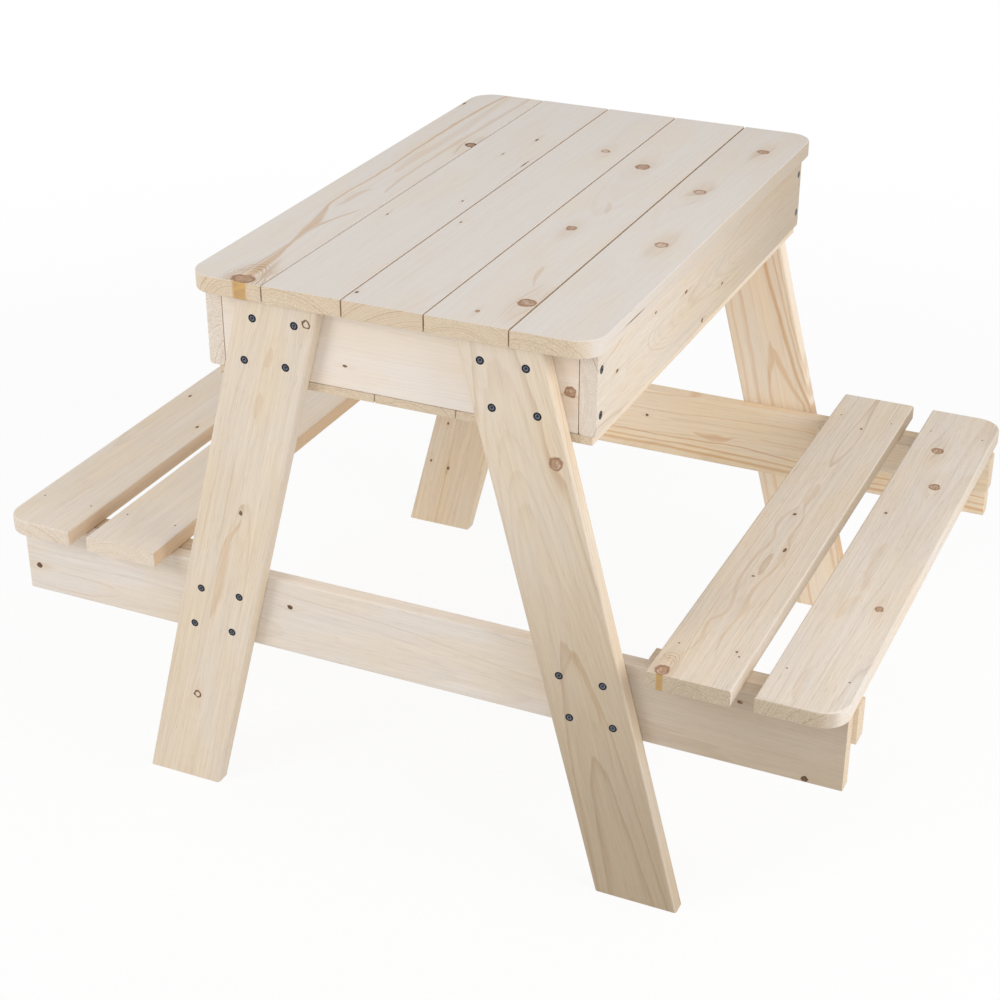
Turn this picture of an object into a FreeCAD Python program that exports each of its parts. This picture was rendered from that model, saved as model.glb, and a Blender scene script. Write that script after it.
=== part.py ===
import FreeCAD, Part
import math
import os

# A child's picnic table with a sandbox under its lift-off top, made of planed softwood boards.
# Millimetres. X runs across the benches, Y along the boards, Z up. The origin is on the floor,
# under the middle of the table.

# Board stock: nearly every piece is cut from the same planed board.
BOARD_WIDTH = 90.0
BOARD_THICKNESS = 19.0
EDGE_EASING = 1.8
CORNER_RADIUS = 30.0

# Batten stock: lid battens and seat cleats.
BATTEN_WIDTH = 44.0
BATTEN_THICKNESS = 24.0

# Lid, which is the table top.
TABLE_HEIGHT = 640.0
LID_BOARDS = 5
LID_JOINT = 0.6
LID_SIDE_OVERHANG = 8.0
LID_END_OVERHANG = 6.0
LID_CLEARANCE = 4.0

# Sandbox.
BOX_LENGTH = 660.0
FLOOR_THICKNESS = 9.0
FLOOR_BOARD_WIDTH = 90.0
FLOOR_JOINT = 1.2
FLOOR_INSET_LEFT = 12.0
FLOOR_INSET_RIGHT = 4.0

# Legs and cross rails.
FOOT_SPREAD = 567.0
LEG_LEAN = 14.6
RAIL_LENGTH = 980.0

# Benches.
SEAT_HEIGHT = 303.0
SEAT_END_OVERHANG = 33.0
SEAT_SIDE_OVERHANG = 3.0
SEAT_GAP = 24.0
CLEAT_INNER_REACH = 15.0
CLEAT_OUTER_REACH = 5.0

# Countersunk wood screws.
SCREW_DIAMETER = 4.5
SCREW_HEAD_DIAMETER = 9.0
SCREW_LENGTH = 35.0
SCREW_TIP = 5.0
SCREW_POINT_DIAMETER = 0.8
SCREW_FLATS = 8
SCREW_EDGE = 21.0
SCREW_PITCH = 48.5
LID_SCREW_PITCH = 50.0
CLEAT_SCREW_END = 30.0

# Headless nails of square wire: brads in the seats, nails under the sandbox floor.
BRAD_WIDTH = 1.8
BRAD_LENGTH = 35.0
BRAD_PITCH = 64.0
FLOOR_NAIL_WIDTH = 1.6
FLOOR_NAIL_LENGTH = 24.0
FLOOR_NAIL_EDGE = 18.0

# Heights and faces that follow from the sizes above.
leg_height = TABLE_HEIGHT - BOARD_THICKNESS
box_bottom = leg_height - BOARD_WIDTH
rail_top = SEAT_HEIGHT - BOARD_THICKNESS
rail_bottom = rail_top - BOARD_WIDTH
lid_pitch = BOARD_WIDTH + LID_JOINT
lid_width = LID_BOARDS * lid_pitch - LID_JOINT
frame_face = BOX_LENGTH / 2
leg_face = frame_face + BOARD_THICKNESS
lid_length = 2 * (leg_face + LID_END_OVERHANG)
box_side = lid_width / 2 - LID_SIDE_OVERHANG
box_inner_side = box_side - BOARD_THICKNESS
box_inner_end = frame_face - BOARD_THICKNESS
end_board_middle = frame_face - BOARD_THICKNESS / 2
rail_inner_face = frame_face - BOARD_THICKNESS
seat_length = 2 * (frame_face + SEAT_END_OVERHANG)
seat_outer_edge = RAIL_LENGTH / 2 + SEAT_SIDE_OVERHANG
seat_inner_edge = seat_outer_edge - 2 * BOARD_WIDTH - SEAT_GAP
lean_slope = math.tan(math.radians(LEG_LEAN))
leg_level_width = BOARD_WIDTH / math.cos(math.radians(LEG_LEAN))

SIDES = {"left": -1, "right": 1}
ENDS = {"near": -1, "far": 1}

nodes = {}


def vector(x, y, z):
    return FreeCAD.Vector(x, y, z)


def rounded_wire(corners, radii):
    """Closed wire through the corners of a flat outline, with an arc where a radius is given."""
    starts = []
    middles = []
    ends = []
    for i, corner in enumerate(corners):
        to_last = (corners[i - 1] - corner).normalize()
        to_next = (corners[(i + 1) % len(corners)] - corner).normalize()
        half_angle = to_last.getAngle(to_next) / 2
        setback = radii[i] / math.tan(half_angle)
        reach = radii[i] / math.sin(half_angle) - radii[i]
        starts.append(corner + to_last * setback)
        middles.append(corner + (to_last + to_next).normalize() * reach)
        ends.append(corner + to_next * setback)
    edges = []
    for i, radius in enumerate(radii):
        if radius > 0:
            edges.append(Part.Arc(starts[i], middles[i], ends[i]).toShape())
        edges.append(Part.LineSegment(ends[i], starts[(i + 1) % len(corners)]).toShape())
    return Part.Wire(edges)


def board(corners, depth, radii=None):
    """A planed board: a flat outline carried through its thickness, with both faces' edges eased."""
    radii = radii or [0.0] * len(corners)
    solid = Part.Face(rounded_wire(corners, radii)).extrude(depth)
    normal = vector(depth.x, depth.y, depth.z).normalize()
    levels = (corners[0].dot(normal), (corners[0] + depth).dot(normal))

    def on_a_face(edge):
        return any(all(abs(v.Point.dot(normal) - level) < 1e-6 for v in edge.Vertexes) for level in levels)

    easing = min(EDGE_EASING, 0.3 * depth.Length)
    return solid.makeChamfer(easing, [edge for edge in solid.Edges if on_a_face(edge)])


def flat_board(x_low, x_high, y_low, y_high, z_low, thickness, rounded_side=0):
    """A board lying flat. rounded_side is -1 or 1 where its left or right corners are rounded in plan."""
    corners = [
        vector(x_low, y_low, z_low),
        vector(x_high, y_low, z_low),
        vector(x_high, y_high, z_low),
        vector(x_low, y_high, z_low),
    ]
    left = CORNER_RADIUS if rounded_side < 0 else 0.0
    right = CORNER_RADIUS if rounded_side > 0 else 0.0
    return board(corners, vector(0, 0, thickness), [left, right, right, left])


def cross_board(x_low, x_high, z_low, z_high, y_from, y_to):
    """A board on edge that runs across the table, with its faces towards the two ends."""
    corners = [
        vector(x_low, y_from, z_low),
        vector(x_high, y_from, z_low),
        vector(x_high, y_from, z_high),
        vector(x_low, y_from, z_high),
    ]
    return board(corners, vector(0, y_to - y_from, 0))


def faceted(profile, flats, head, direction):
    """A pin with flat sides: profile is its (radius, depth) steps, from head along direction."""
    turns = [2 * math.pi * (i + 0.5) / flats for i in range(flats)]
    rims = [
        [vector(radius * math.cos(turn), radius * math.sin(turn), -depth) for turn in turns]
        for radius, depth in profile
    ]
    outlines = [rims[0], rims[-1]]
    for upper, lower in zip(rims, rims[1:]):
        for i in range(flats):
            outlines.append([upper[i - 1], upper[i], lower[i], lower[i - 1]])
    faces = [Part.Face(Part.makePolygon(outline + outline[:1])) for outline in outlines]
    solid = Part.Solid(Part.Shell(faces))
    solid.Placement = FreeCAD.Placement(head, FreeCAD.Rotation(vector(0, 0, -1), direction))
    return solid


def screw(head, direction):
    """Countersunk screw: head is the middle of its flat head, direction the way it is driven."""
    head_radius = SCREW_HEAD_DIAMETER / 2
    shank_radius = SCREW_DIAMETER / 2
    profile = [
        (head_radius, 0),
        (shank_radius, head_radius - shank_radius),
        (shank_radius, SCREW_LENGTH - SCREW_TIP),
        (SCREW_POINT_DIAMETER / 2, SCREW_LENGTH),
    ]
    return faceted(profile, SCREW_FLATS, head, direction)


def nail(head, direction, width, length):
    """Headless nail: a plain pin of square wire, cut off square."""
    corner_radius = width / math.sqrt(2)
    return faceted([(corner_radius, 0), (corner_radius, length)], 4, head, direction)


def drilled(piece, fasteners):
    """The piece with the seats of its fasteners cut out of it."""
    return piece.cut(fasteners).removeSplitter()


def leg_axis(z):
    """Distance of a leg's middle line from the table's middle plane, at a height."""
    return FOOT_SPREAD / 2 - lean_slope * z


# Fasteners of the frame: four screws through the top of each leg into the end board, four into the rail.
def leg_screws(side, end, z_low):
    """Two rows of two screws through a leg, into a board whose lower edge is at z_low."""
    rows = (z_low + SCREW_EDGE, z_low + BOARD_WIDTH - SCREW_EDGE)
    return [
        screw(vector(side * (leg_axis(z) + offset), end * leg_face, z), vector(0, -end, 0))
        for z in rows
        for offset in (-SCREW_PITCH / 2, SCREW_PITCH / 2)
    ]


top_screws = {(s, e): leg_screws(s, e, box_bottom) for s in (-1, 1) for e in (-1, 1)}
rail_screws = {(s, e): leg_screws(s, e, rail_bottom) for s in (-1, 1) for e in (-1, 1)}

# Legs: leaning boards with level ends, on the outside of the end boards and the cross rails.
for end_name, end in ENDS.items():
    for side_name, side in SIDES.items():
        corners = [
            vector(side * (leg_axis(z) + half), end * leg_face, z)
            for z, half in (
                (0, -leg_level_width / 2),
                (0, leg_level_width / 2),
                (leg_height, leg_level_width / 2),
                (leg_height, -leg_level_width / 2),
            )
        ]
        blank = board(corners, vector(0, -end * BOARD_THICKNESS, 0))
        holes = top_screws[side, end] + rail_screws[side, end]
        nodes[f"leg_{end_name}_{side_name}"] = drilled(blank, holes)

# Seat cleats: short battens behind the rails, which join the two boards of each bench.
cleat_inner = seat_inner_edge - CLEAT_INNER_REACH
cleat_outer = RAIL_LENGTH / 2 + CLEAT_OUTER_REACH
cleat_back = rail_inner_face - BATTEN_THICKNESS
cleat_middle = rail_inner_face - BATTEN_THICKNESS / 2
cleat_screw_height = rail_top - BATTEN_WIDTH / 2
cleat_screws = {
    (side, end): [
        screw(vector(side * x, end * cleat_back, cleat_screw_height), vector(0, end, 0))
        for x in (cleat_inner + CLEAT_SCREW_END, cleat_outer - CLEAT_SCREW_END)
    ]
    for side in (-1, 1)
    for end in (-1, 1)
}

# Brads: a pair through each end of each seat board, down into the cleat.
seat_middles = {
    "inner": seat_inner_edge + BOARD_WIDTH / 2,
    "outer": seat_outer_edge - BOARD_WIDTH / 2,
}
seat_brads = {
    (side, end, row): [
        nail(
            vector(side * middle + offset, end * cleat_middle, SEAT_HEIGHT),
            vector(0, 0, -1),
            BRAD_WIDTH,
            BRAD_LENGTH,
        )
        for offset in (-BRAD_PITCH / 2, BRAD_PITCH / 2)
    ]
    for row, middle in seat_middles.items()
    for side in (-1, 1)
    for end in (-1, 1)
}

for end_name, end in ENDS.items():
    for side_name, side in SIDES.items():
        x_pair = sorted((side * cleat_inner, side * cleat_outer))
        blank = cross_board(*x_pair, rail_top - BATTEN_WIDTH, rail_top, end * rail_inner_face, end * cleat_back)
        holes = cleat_screws[side, end] + seat_brads[side, end, "inner"] + seat_brads[side, end, "outer"]
        nodes[f"cleat_{end_name}_{side_name}"] = drilled(blank, holes)

# Cross rails: boards on edge inside the legs, which carry the benches.
for end_name, end in ENDS.items():
    half = RAIL_LENGTH / 2
    blank = cross_board(-half, half, rail_bottom, rail_top, end * frame_face, end * rail_inner_face)
    holes = [s for side in (-1, 1) for s in rail_screws[side, end] + cleat_screws[side, end]]
    nodes[f"rail_{end_name}"] = drilled(blank, holes)

# Seat boards: two to a bench, the outer one with its free corners rounded.
for side_name, side in SIDES.items():
    for row, middle in seat_middles.items():
        blank = flat_board(
            side * middle - BOARD_WIDTH / 2,
            side * middle + BOARD_WIDTH / 2,
            -seat_length / 2,
            seat_length / 2,
            rail_top,
            BOARD_THICKNESS,
            side if row == "outer" else 0,
        )
        holes = seat_brads[side, -1, row] + seat_brads[side, 1, row]
        nodes[f"seat_board_{side_name}_{row}"] = drilled(blank, holes)

# Sandbox floor: thin boards nailed under the end boards, the last one ripped to what is left.
floor_low = FLOOR_INSET_LEFT - box_side
floor_high = box_side - FLOOR_INSET_RIGHT
floor_pitch = FLOOR_BOARD_WIDTH + FLOOR_JOINT
floor_count = max(1, round((floor_high - floor_low) / floor_pitch))
floor_bottom = box_bottom - FLOOR_THICKNESS
floor_nails = []
for i in range(floor_count):
    x_low = floor_low + i * floor_pitch
    x_high = floor_high if i == floor_count - 1 else x_low + FLOOR_BOARD_WIDTH
    blank = flat_board(x_low, x_high, -frame_face, frame_face, floor_bottom, FLOOR_THICKNESS)
    pins = [
        nail(
            vector(x, end * end_board_middle, floor_bottom),
            vector(0, 0, 1),
            FLOOR_NAIL_WIDTH,
            FLOOR_NAIL_LENGTH,
        )
        for x in (x_low + FLOOR_NAIL_EDGE, x_high - FLOOR_NAIL_EDGE)
        for end in (-1, 1)
    ]
    nodes[f"floor_board_{i + 1}"] = drilled(blank, pins)
    floor_nails += pins

# Sandbox sides: long boards that cover the end boards' ends and are screwed into them.
side_screws = {
    side: [
        screw(vector(side * box_side, end * end_board_middle, z), vector(-side, 0, 0))
        for end in (-1, 1)
        for z in (box_bottom + SCREW_EDGE, leg_height - SCREW_EDGE)
    ]
    for side in (-1, 1)
}
for side_name, side in SIDES.items():
    corners = [
        vector(side * box_side, -frame_face, box_bottom),
        vector(side * box_side, frame_face, box_bottom),
        vector(side * box_side, frame_face, leg_height),
        vector(side * box_side, -frame_face, leg_height),
    ]
    blank = board(corners, vector(-side * BOARD_THICKNESS, 0, 0))
    nodes[f"side_board_{side_name}"] = drilled(blank, side_screws[side] + floor_nails)

# Sandbox ends: boards between the sides, which the legs are screwed to.
for end_name, end in ENDS.items():
    blank = cross_board(
        -box_inner_side, box_inner_side, box_bottom, leg_height, end * frame_face, end * box_inner_end
    )
    holes = [s for side in (-1, 1) for s in top_screws[side, end] + side_screws[side]]
    nodes[f"end_board_{end_name}"] = drilled(blank, holes + floor_nails)

# Lid: boards side by side, held by two battens that drop inside the box and keep the lid in place.
batten_half = box_inner_side - LID_CLEARANCE
batten_outer = box_inner_end - LID_CLEARANCE
batten_middle = batten_outer - BATTEN_WIDTH / 2
lid_middles = [(i - (LID_BOARDS - 1) / 2) * lid_pitch for i in range(LID_BOARDS)]
batten_bottom = leg_height - BATTEN_THICKNESS
lid_screws = {
    end: [
        screw(vector(middle + offset, end * batten_middle, batten_bottom), vector(0, 0, 1))
        for middle in lid_middles
        for offset in (-LID_SCREW_PITCH / 2, LID_SCREW_PITCH / 2)
        if abs(middle + offset) < batten_half - SCREW_HEAD_DIAMETER
    ]
    for end in (-1, 1)
}
for end_name, end in ENDS.items():
    y_pair = sorted((end * batten_outer, end * (batten_outer - BATTEN_WIDTH)))
    blank = flat_board(-batten_half, batten_half, *y_pair, batten_bottom, BATTEN_THICKNESS)
    nodes[f"lid_batten_{end_name}"] = drilled(blank, lid_screws[end])
for i, middle in enumerate(lid_middles):
    rounded_side = {0: -1, LID_BOARDS - 1: 1}.get(i, 0)
    blank = flat_board(
        middle - BOARD_WIDTH / 2,
        middle + BOARD_WIDTH / 2,
        -lid_length / 2,
        lid_length / 2,
        leg_height,
        BOARD_THICKNESS,
        rounded_side,
    )
    nodes[f"lid_board_{i + 1}"] = drilled(blank, lid_screws[-1] + lid_screws[1])

# Like fasteners are kept together, each a separate solid.
for end_name, end in ENDS.items():
    nodes[f"leg_top_screws_{end_name}"] = Part.makeCompound(top_screws[-1, end] + top_screws[1, end])
    nodes[f"leg_rail_screws_{end_name}"] = Part.makeCompound(rail_screws[-1, end] + rail_screws[1, end])
    nodes[f"cleat_screws_{end_name}"] = Part.makeCompound(cleat_screws[-1, end] + cleat_screws[1, end])
for side_name, side in SIDES.items():
    nodes[f"side_screws_{side_name}"] = Part.makeCompound(side_screws[side])
    brads = [pin for (s, _, _), pins in seat_brads.items() if s == side for pin in pins]
    nodes[f"seat_brads_{side_name}"] = Part.makeCompound(brads)
nodes["floor_nails"] = Part.makeCompound(floor_nails)
nodes["lid_screws"] = Part.makeCompound(lid_screws[-1] + lid_screws[1])

os.makedirs("parts", exist_ok=True)
for name, shape in nodes.items():
    shape.exportStep(f"parts/{name}.step")
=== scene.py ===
import itertools
import math

import bmesh
import bpy
from mathutils import Matrix, Vector


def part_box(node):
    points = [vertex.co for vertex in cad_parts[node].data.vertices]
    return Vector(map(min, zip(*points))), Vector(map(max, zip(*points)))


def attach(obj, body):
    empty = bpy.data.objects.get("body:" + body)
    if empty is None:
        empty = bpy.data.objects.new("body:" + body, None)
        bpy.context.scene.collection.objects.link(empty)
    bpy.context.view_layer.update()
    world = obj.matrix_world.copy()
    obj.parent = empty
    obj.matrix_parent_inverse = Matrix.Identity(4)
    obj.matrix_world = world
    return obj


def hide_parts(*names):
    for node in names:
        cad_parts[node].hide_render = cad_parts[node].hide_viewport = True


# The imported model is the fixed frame. All places below are in its axes: X across the benches, Y along
# the boards and away from the viewer, Z up. Metres, unless a name or comment says millimetres.
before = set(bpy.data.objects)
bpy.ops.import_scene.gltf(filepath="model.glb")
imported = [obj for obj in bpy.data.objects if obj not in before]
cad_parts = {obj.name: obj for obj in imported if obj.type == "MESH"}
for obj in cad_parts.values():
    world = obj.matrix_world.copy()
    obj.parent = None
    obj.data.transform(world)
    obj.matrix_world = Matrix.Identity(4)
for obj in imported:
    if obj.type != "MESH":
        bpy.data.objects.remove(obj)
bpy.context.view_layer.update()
MM = 0.001


# Legs
# Four planed pine boards that lean inwards, cut level at the foot and under the lid.
# Each is screwed to the outside of a sandbox end board and a cross rail, in countersunk holes.
LONG_EDGE_ROUNDING = 2.6 * MM
CUT_END_ROUNDING = 0.8 * MM
PALE_SAPWOOD = (0.775, 0.718, 0.665, 1)
WARM_SAPWOOD = (0.800, 0.640, 0.440, 1)
HEARTWOOD = (0.660, 0.470, 0.290, 1)
LATE_WOOD_TINT = (0.620, 0.460, 0.310, 1)
END_GRAIN = (0.745, 0.610, 0.450, 1)
KNOT_BROWN = (0.420, 0.250, 0.155, 1)
KNOT_DARK = (0.105, 0.060, 0.038, 1)
RESIN_AMBER = (0.660, 0.420, 0.150, 1)
VEIN_TINT = (0.790, 0.590, 0.390, 1)
# Painted shade: the grey-brown that the wood is mixed towards where it stands in for shadow.
DULLED_WOOD = (0.450, 0.350, 0.240, 1)
VEIN_REACH = 120 * MM
VEIN_WIDEST = 12 * MM


def feed(tree, socket, value):
    """Links a socket to another one, or sets its value."""
    if isinstance(value, bpy.types.NodeSocket):
        tree.links.new(value, socket)
    else:
        socket.default_value = value


def maths(tree, operation, *values):
    made = tree.nodes.new("ShaderNodeMath")
    made.operation = operation
    for socket, value in zip(made.inputs, values):
        feed(tree, socket, value)
    return made.outputs[0]


def times(tree, product, *factors):
    for factor in factors:
        product = maths(tree, "MULTIPLY", product, factor)
    return product


def largest(tree, highest, *others):
    for other in others:
        highest = maths(tree, "MAXIMUM", highest, other)
    return highest


def vector_maths(tree, operation, *values):
    made = tree.nodes.new("ShaderNodeVectorMath")
    made.operation = operation
    for socket, value in zip(made.inputs, values):
        feed(tree, socket, value)
    return made.outputs["Value" if operation in ("LENGTH", "DOT_PRODUCT") else "Vector"]


def scaled(tree, vector, factor):
    made = tree.nodes.new("ShaderNodeVectorMath")
    made.operation = "SCALE"
    feed(tree, made.inputs[0], vector)
    feed(tree, made.inputs["Scale"], factor)
    return made.outputs[0]


def apart(tree, vector):
    """The X, Y and Z of a vector."""
    made = tree.nodes.new("ShaderNodeSeparateXYZ")
    feed(tree, made.inputs[0], vector)
    return tuple(made.outputs)


def together(tree, x=0.0, y=0.0, z=0.0):
    """A vector from its X, Y and Z."""
    made = tree.nodes.new("ShaderNodeCombineXYZ")
    for socket, value in zip(made.inputs, (x, y, z)):
        feed(tree, socket, value)
    return made.outputs[0]


def smooth_step(tree, value, start, end, low=0.0, high=1.0):
    """From low at start to high at end."""
    made = tree.nodes.new("ShaderNodeMapRange")
    made.interpolation_type = "SMOOTHSTEP"
    for socket, number in zip(made.inputs, (value, start, end, low, high)):
        feed(tree, socket, number)
    return made.outputs[0]


def noise(tree, place, stretch, seed, detail=2.0, output="Fac"):
    """Noise on a place whose axes are multiplied by stretch, moved along by the board's seed."""
    shift = together(tree, seed, seed, seed)
    made = tree.nodes.new("ShaderNodeTexNoise")
    feed(tree, made.inputs["Vector"], vector_maths(tree, "MULTIPLY_ADD", place, stretch, shift))
    made.inputs["Scale"].default_value = 1.0
    made.inputs["Detail"].default_value = detail
    return made.outputs[output]


def strayed(tree, place, stretch, seed, detail, reach):
    """The place, led astray by noise: on each axis by up to half of its reach either way."""
    sway = noise(tree, place, stretch, seed, detail, "Color")
    sway = vector_maths(tree, "SUBTRACT", sway, (0.5, 0.5, 0.5))
    return vector_maths(tree, "MULTIPLY_ADD", sway, reach, place)


def colour_mix(tree, share, first, second, blend="MIX"):
    made = tree.nodes.new("ShaderNodeMix")
    made.data_type = "RGBA"
    made.blend_type = blend
    feed(tree, made.inputs[0], share)
    feed(tree, made.inputs[6], first)
    feed(tree, made.inputs[7], second)
    return made.outputs[2]


def new_material(name):
    """A material, its node tree and the shader of its surface."""
    material = bpy.data.materials.new(name)
    material.use_nodes = True
    return material, material.node_tree, material.node_tree.nodes["Principled BSDF"]


def node_group(name, inputs, outputs):
    """An empty node group with named sockets, and the sockets of its input and output nodes."""
    tree = bpy.data.node_groups.new(name, "ShaderNodeTree")
    for label, kind in inputs.items():
        tree.interface.new_socket(label, in_out="INPUT", socket_type=f"NodeSocket{kind}")
    for label, kind in outputs.items():
        tree.interface.new_socket(label, in_out="OUTPUT", socket_type=f"NodeSocket{kind}")
    return tree, tree.nodes.new("NodeGroupInput").outputs, tree.nodes.new("NodeGroupOutput").inputs


def growth_rings():
    """Rings round the log's pith, cut by the board: arches on its faces, arcs on its ends."""
    tree, given, result = node_group(
        "growth_rings",
        {"Place": "Vector", "Pith": "Vector", "Lean": "Vector", "Ring": "Float", "Seed": "Float"},
        {"Late": "Float"},
    )
    place, seed = given["Place"], given["Seed"]
    along = apart(tree, place)[0]
    pith = vector_maths(tree, "ADD", given["Pith"], scaled(tree, given["Lean"], along))
    moved = strayed(tree, place, (2.2, 9.0, 9.0), seed, 1.5, (0.0, 0.024, 0.024))
    from_pith = vector_maths(tree, "MULTIPLY", vector_maths(tree, "SUBTRACT", moved, pith), (0.0, 1.0, 1.0))
    years = maths(tree, "DIVIDE", vector_maths(tree, "LENGTH", from_pith), given["Ring"])

    # Good and lean years make the rings uneven, and a ripple keeps their lines from running smooth.
    uneven = tree.nodes.new("ShaderNodeTexNoise")
    uneven.noise_dimensions = "1D"
    uneven.inputs["Scale"].default_value = 1.0
    feed(tree, uneven.inputs["W"], maths(tree, "MULTIPLY_ADD", years, 0.31, seed))
    ripple = noise(tree, place, (11.0, 150.0, 150.0), seed)
    phase = maths(tree, "MULTIPLY_ADD", uneven.outputs["Fac"], 2.6, years)
    phase = maths(tree, "MULTIPLY_ADD", ripple, 0.6, phase)

    # Within a year the wood darkens slowly and turns pale at once, in some years more than in others.
    season = maths(tree, "FRACT", phase)
    rise = smooth_step(tree, season, 0.48, 0.92)
    fall = smooth_step(tree, season, 0.93, 1.00, 1.0, 0.0)
    year = tree.nodes.new("ShaderNodeTexWhiteNoise")
    year.noise_dimensions = "1D"
    feed(tree, year.inputs["W"], maths(tree, "FLOOR", phase))
    strength = maths(tree, "MULTIPLY_ADD", maths(tree, "POWER", year.outputs["Value"], 1.8), 0.85, 0.15)
    feed(tree, result["Late"], times(tree, rise, fall, strength))
    return tree


def grain_round_a_knot():
    """One knot: pushes the grain apart round it, and gives its disc and the fine lines that arch over it."""
    tree, given, result = node_group(
        "grain_round_a_knot",
        {"Place": "Vector", "Knot": "Vector", "Radius": "Float", "Length": "Float", "Depth": "Float",
         "Heart": "Float", "Rim": "Float", "Swirl": "Float"},
        {"Place": "Vector", "Shade": "Float", "Halo": "Float", "Swirl": "Float"},
    )
    along, across, deep = apart(tree, vector_maths(tree, "SUBTRACT", given["Place"], given["Knot"]))
    drawn_in = together(
        tree,
        maths(tree, "DIVIDE", along, given["Length"]),
        across,
        times(tree, deep, given["Depth"]),
    )
    unit = scaled(tree, drawn_in, maths(tree, "DIVIDE", 1.0, given["Radius"]))
    shift = times(tree, given["Radius"], 3700.0)
    ragged = strayed(tree, unit, (1.1, 1.1, 0.4), shift, 2.0, (0.8, 0.8, 0.0))
    distance = vector_maths(tree, "LENGTH", ragged)

    # The grain flows round the knot in a long eye.
    flow = vector_maths(tree, "LENGTH", vector_maths(tree, "MULTIPLY", unit, (0.34, 1.0, 1.0)))
    spread = maths(tree, "EXPONENT", times(tree, maths(tree, "POWER", flow, 2.0), -0.30))
    pushed = together(tree, y=times(tree, spread, 0.86, across))
    feed(tree, result["Place"], vector_maths(tree, "SUBTRACT", given["Place"], pushed))
    feed(tree, result["Halo"], smooth_step(tree, flow, 0.8, 2.4, 1.0, 0.0))

    # Fine lines arch over it, in a band just outside the disc.
    arch = vector_maths(tree, "LENGTH", vector_maths(tree, "MULTIPLY", ragged, (0.45, 1.0, 0.0)))
    lines = smooth_step(tree, maths(tree, "SINE", times(tree, arch, 25.0)), -0.2, 0.9)
    start = smooth_step(tree, arch, 0.70, 0.95)
    end = smooth_step(tree, arch, 1.3, 2.1, 1.0, 0.0)
    feed(tree, result["Swirl"], times(tree, lines, start, end, given["Swirl"]))

    # The disc has rings of its own and a darker rim, both mottled.
    mottle = noise(tree, unit, (2.4, 2.4, 0.8), shift, 3.0)
    turns = maths(tree, "SINE", maths(tree, "MULTIPLY_ADD", mottle, 5.0, times(tree, distance, 16.0)))
    heart = maths(tree, "MULTIPLY_ADD", turns, 0.16, maths(tree, "MULTIPLY_ADD", mottle, 1.6, 0.1))
    rim = times(
        tree,
        smooth_step(tree, distance, 0.48, 0.80),
        smooth_step(tree, mottle, 0.25, 0.5, 0.3, 1.0),
        given["Rim"],
    )
    shade = maths(tree, "MULTIPLY_ADD", heart, given["Heart"], rim)
    disc = smooth_step(tree, distance, 0.80, 1.10, 1.0, 0.0)
    feed(tree, result["Shade"], times(tree, shade, disc))
    return tree


RINGS = growth_rings()
KNOT = grain_round_a_knot()


def use_group(tree, group, **values):
    made = tree.nodes.new("ShaderNodeGroup")
    made.node_tree = group
    for label, value in values.items():
        feed(tree, made.inputs[label], value)
    return made.outputs


def branch_knot(x, y, z, radius, length=1.0, heart=0.38, rim=0.24, swirl=0.0, depth=0.0):
    """A sound brown knot, as its place and its form. Millimetres on the object.

    length is how long it is along the grain for a width of 1, heart and rim say how dark it is, and swirl
    how strong the lines are that arch over it. With a depth of 0 it runs through the board.
    """
    form = dict(Radius=radius * MM, Length=length, Depth=depth, Heart=heart, Rim=rim, Swirl=swirl)
    return Vector((x, y, z)) * MM, form


def pin_knot(x, y, z, radius=1.8, length=1.4):
    """A small dark knot."""
    return branch_knot(x, y, z, radius, length, heart=0.85, rim=0.3)


def ring_knot(x, y, z, radius):
    """A pale knot with a brown bark ring."""
    return branch_knot(x, y, z, radius, heart=0.04, rim=1.0)


def pitch_streak(x, y, z, half_width, length):
    """A dark hairline of resin in the surface."""
    return branch_knot(x, y, z, half_width, length, heart=0.95, rim=0.0, depth=1.0)


def vein(share, *points):
    """A tan streak along the grain. Each point is a place on the board's face and a half width, in mm."""
    return share, points


def vein_share(tree, place, axes, points):
    """How far a place lies in a vein, whose middle and half width follow smooth curves along the board."""
    face_axes = [i for i in range(3) if abs(axes.col[2][i]) < 0.5]
    stations = []
    for first, second, half_width in points:
        spot = axes.translation.copy()
        spot[face_axes[0]] = first * MM
        spot[face_axes[1]] = second * MM
        own = axes.inverted() @ spot
        stations.append((own.x, own.y / VEIN_REACH + 0.5, half_width * MM / VEIN_WIDEST))
    stations.sort()
    start, end = stations[0][0], stations[-1][0]
    along, across, _ = apart(tree, place)
    progress = maths(tree, "DIVIDE", maths(tree, "SUBTRACT", along, start), end - start)
    progress = maths(tree, "MINIMUM", maths(tree, "MAXIMUM", progress, 0.0), 1.0)

    def curve(column):
        made = tree.nodes.new("ShaderNodeFloatCurve")
        feed(tree, made.inputs["Value"], progress)
        line = made.mapping.curves[0]
        for _ in stations[2:]:
            line.points.new(0.5, 0.5)
        for point, station in zip(line.points, stations):
            point.location = ((station[0] - start) / (end - start), station[column])
        made.mapping.update()
        return made.outputs[0]

    middle = times(tree, maths(tree, "SUBTRACT", curve(1), 0.5), VEIN_REACH)
    aside = maths(tree, "ABSOLUTE", maths(tree, "SUBTRACT", across, middle))
    half_width = times(tree, curve(2), VEIN_WIDEST)
    edge = maths(tree, "MULTIPLY_ADD", half_width, 1.4, 0.2 * MM)
    inside = smooth_step(tree, aside, times(tree, half_width, 0.4), edge, 1.0, 0.0)
    return times(tree, inside, smooth_step(tree, half_width, 0.0, 0.8 * MM))


def dulled_share(tree, along, start, end, share):
    """How much painted shade the wood takes at a place along the board. Start and end in millimetres."""
    return smooth_step(tree, along, start * MM, end * MM, 0.0, share)


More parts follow.
